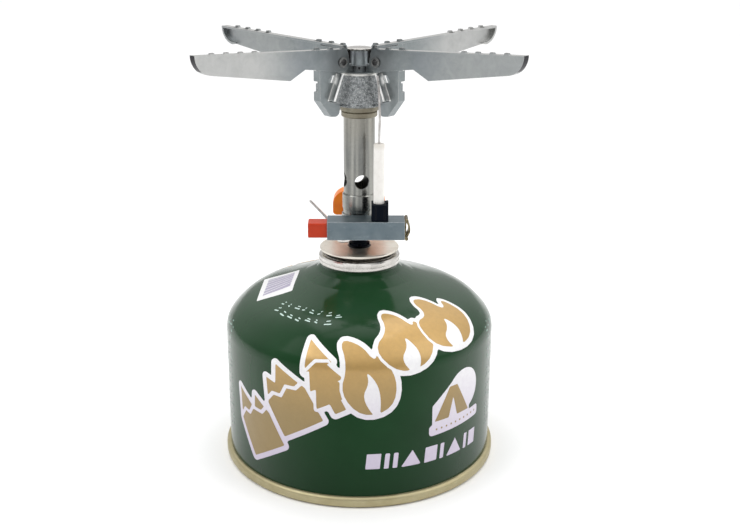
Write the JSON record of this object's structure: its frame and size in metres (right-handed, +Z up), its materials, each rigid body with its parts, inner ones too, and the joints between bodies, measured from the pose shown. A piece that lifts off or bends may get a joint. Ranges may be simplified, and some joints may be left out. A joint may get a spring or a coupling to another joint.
{
  "type": "canister stove",
  "caption": "Screw-on gas canister stove with folding pot supports, mixing tube, piezo igniter and flame control, on a green gas canister.",
  "frame": {"origin": "centre of the canister's foot, on the surface it stands on", "axes": "+Z up through the valve and the mixing tube; -Y is the side with the igniter box; the igniter button is at -X; the flame control is at +Y"},
  "size_m": [0.1132, 0.11, 0.1666],
  "materials": {
    "green_paint": "gloss lacquer over tinplate",
    "gold_lacquer": "satin gold lacquer on rolled tinplate",
    "cup_steel": "bright tinplate",
    "disc_plate": "polished nickel plate",
    "zinc_sheet": "zinc-plated pressed sheet",
    "tube_steel": "brushed stainless tube",
    "cast_alloy": "shot-blasted casting",
    "heat_steel": "heat-tinted stainless steel",
    "brass": "turned brass",
    "spring_steel": "drawn wire",
    "black_plastic": "moulded, slight grain",
    "black_rubber": "soft matt",
    "orange_plastic": "moulded, satin",
    "red_plastic": "moulded, satin",
    "white_ceramic": "glazed at the shank",
    "natural_plastic": "moulded"
  },
  "bodies": {
    "canister": {"canister_shell": "green_paint", "canister_base": "gold_lacquer", "base_seam": "gold_lacquer", "valve_cup": "cup_steel", "cup_gasket": "black_rubber", "valve_housing": "natural_plastic", "stem_gasket": "black_rubber", "valve_spring": "spring_steel"},
    "canister_valve": {"valve_stem": "natural_plastic"},
    "thread_seal": {"connector_seal": "black_rubber"},
    "stove": {"connector_flange": "disc_plate", "depressor_pin": "brass", "neck_collar": "black_plastic", "valve_body": "tube_steel", "gland_nut": "brass", "spindle_o_ring": "black_rubber", "gas_jet": "brass", "mixing_tube": "tube_steel", "tube_collar": "tube_steel", "head_collar": "heat_steel", "burner_cone": "cast_alloy", "burner_crown": "heat_steel", "burner_cap": "cup_steel", "arm_rivets": "cup_steel", "igniter_bracket": "zinc_sheet", "piezo_unit": "black_plastic", "button_spring": "spring_steel", "igniter_end_cap": "spring_steel", "igniter_contact": "spring_steel", "insulator_clip": "black_plastic", "ceramic_insulator": "white_ceramic", "electrode_wire": "spring_steel", "bracket_screw": "cup_steel", "support_leg_front_left": "zinc_sheet", "support_leg_front_right": "zinc_sheet", "support_leg_rear_left": "zinc_sheet", "support_leg_rear_right": "zinc_sheet"},
    "flame_control": {"valve_spindle": "brass", "control_knob": "orange_plastic", "control_lever": "spring_steel", "knob_screw": "cup_steel"},
    "igniter_push": {"igniter_button": "red_plastic"},
    "arm_front_left": {"pot_arm_front_left": "zinc_sheet"},
    "arm_front_right": {"pot_arm_front_right": "zinc_sheet"},
    "arm_rear_left": {"pot_arm_rear_left": "zinc_sheet"},
    "arm_rear_right": {"pot_arm_rear_right": "zinc_sheet"}
  },
  "joints": [
    {"name": "thread_rise", "type": "slide", "parent": "canister", "child": "thread_seal", "axis": [0, 0, 1], "range_m": [0, 0.00457]},
    {"name": "thread_turn", "type": "hinge", "parent": "thread_seal", "child": "stove", "pos_m": [0, 0, 0.085], "axis": [0, 0, 1], "range_deg": [0, 1800]},
    {"name": "stem_rise", "type": "slide", "parent": "canister", "child": "canister_valve", "axis": [0, 0, 1], "range_m": [0, 0.00101], "deforming": ["valve_spring"]},
    {"name": "flame_turn", "type": "hinge", "parent": "stove", "child": "flame_control", "pos_m": [0, 0.0172, 0.0962], "axis": [0, 1, 0], "range_deg": [0, 180]},
    {"name": "button_press", "type": "slide", "parent": "stove", "child": "igniter_push", "axis": [1, 0, 0], "range_m": [0, 0.0038], "stiffness_N_per_m": 500, "springref_m": -0.0008, "deforming": ["button_spring"]},
    {"name": "fold_front_left", "type": "hinge", "parent": "stove", "child": "arm_front_left", "pos_m": [-0.00698, -0.00576, 0.1585], "axis": [-0.6361, 0.7716, 0], "range_deg": [0, 78]},
    {"name": "fold_front_right", "type": "hinge", "parent": "stove", "child": "arm_front_right", "pos_m": [0.00698, -0.00576, 0.1585], "axis": [-0.6361, -0.7716, 0], "range_deg": [0, 78]},
    {"name": "fold_rear_left", "type": "hinge", "parent": "stove", "child": "arm_rear_left", "pos_m": [-0.00698, 0.00576, 0.1585], "axis": [0.6361, 0.7716, 0], "range_deg": [0, 78]},
    {"name": "fold_rear_right", "type": "hinge", "parent": "stove", "child": "arm_rear_right", "pos_m": [0.00698, 0.00576, 0.1585], "axis": [0.6361, -0.7716, 0], "range_deg": [0, 78]}
  ],
  "couplings": [
    {"joint": "thread_rise", "follows": "thread_turn", "m_per_rad": 0.00014438},
    {"joint": "stem_rise", "follows": "thread_turn", "m_per_rad": 0.000031831}
  ]
}
